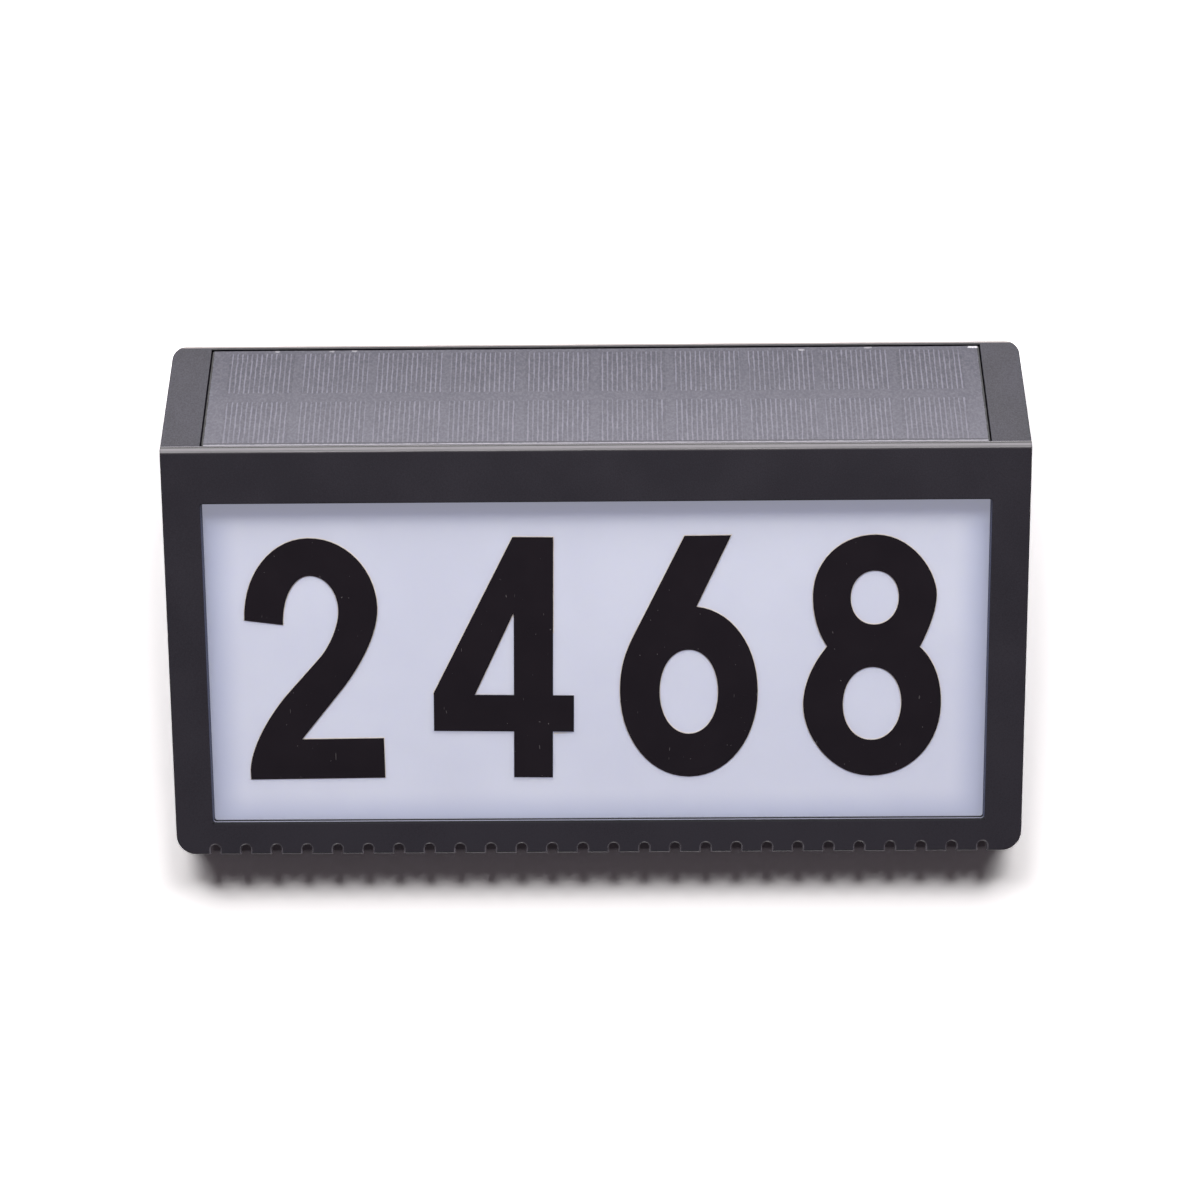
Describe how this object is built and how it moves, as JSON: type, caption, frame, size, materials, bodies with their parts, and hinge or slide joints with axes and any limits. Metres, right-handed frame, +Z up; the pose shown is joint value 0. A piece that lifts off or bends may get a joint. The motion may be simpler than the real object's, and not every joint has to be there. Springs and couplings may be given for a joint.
{
  "type": "illuminated house number sign",
  "caption": "Wedge-shaped wall sign with an opal lit window for house numbers, a solar panel let into the sloping top and a push button on the back.",
  "frame": {"origin": "centre of the flat back face that lies against the wall", "axes": "+X across the sign, +Y out of the back into the wall, +Z up; the window faces -Y"},
  "size_m": [0.3, 0.0387, 0.1809],
  "materials": {
    "frame_plastic": "satin charcoal moulding",
    "housing_plastic": "fine spark texture, charcoal",
    "black_foam": "closed-cell foam",
    "opal_acrylic": "opal white, satin",
    "white_plastic": "white moulding",
    "white_board": "white solder mask",
    "led_lens": "phosphor under clear resin",
    "black_board": "black fibreglass board",
    "silicon_cells": "grey-blue cells with silver fingers",
    "panel_sheet": "clear textured laminate",
    "black_rubber": "silicone rubber",
    "zinc_screws": "zinc plated",
    "black_plastic": "black moulding",
    "green_board": "green solder mask",
    "ferrite": "ferrite",
    "capacitor_can": "bare can",
    "ivory_plastic": "nylon",
    "battery_sleeve": "plain shrink sleeve",
    "nickel_strip": "nickel plated",
    "red_insulation": "silicone insulation",
    "black_insulation": "silicone insulation"
  },
  "bodies": {
    "sign": {"front_frame": "frame_plastic", "housing": "housing_plastic", "rear_cover": "housing_plastic", "window_gasket": "black_foam", "diffuser_panel": "opal_acrylic", "reflector_tray": "white_plastic", "led_strip_board": "white_board", "led_chips": "led_lens", "solar_bed_tape": "black_foam", "solar_backing_board": "black_board", "solar_cells": "silicon_cells", "solar_cover_sheet": "panel_sheet", "rear_cover_seal": "black_rubber", "rear_cover_screws": "zinc_screws", "frame_screws": "zinc_screws", "mode_switch": "black_plastic", "button_seal_ring": "black_rubber", "control_board": "green_board", "control_board_screws": "zinc_screws", "charge_inductor": "ferrite", "storage_capacitor": "capacitor_can", "driver_chip": "black_plastic", "wire_sockets": "ivory_plastic", "battery_cell": "battery_sleeve", "battery_holder": "black_plastic", "battery_holder_screws": "zinc_screws", "battery_contact_positive": "nickel_strip", "battery_contact_negative": "nickel_strip", "battery_wire_red": "red_insulation", "battery_wire_black": "black_insulation", "led_wire_red": "red_insulation", "led_wire_black": "black_insulation", "solar_wire_red": "red_insulation", "solar_wire_black": "black_insulation"},
    "button": {"mode_button": "black_rubber", "switch_plunger": "black_plastic"}
  },
  "joints": [
    {"name": "mode_button_press", "type": "slide", "parent": "sign", "child": "button", "axis": [0, -1, 0], "range_m": [0, 0.0008], "stiffness_N_per_m": 1500, "springref_m": -0.0004}
  ]
}
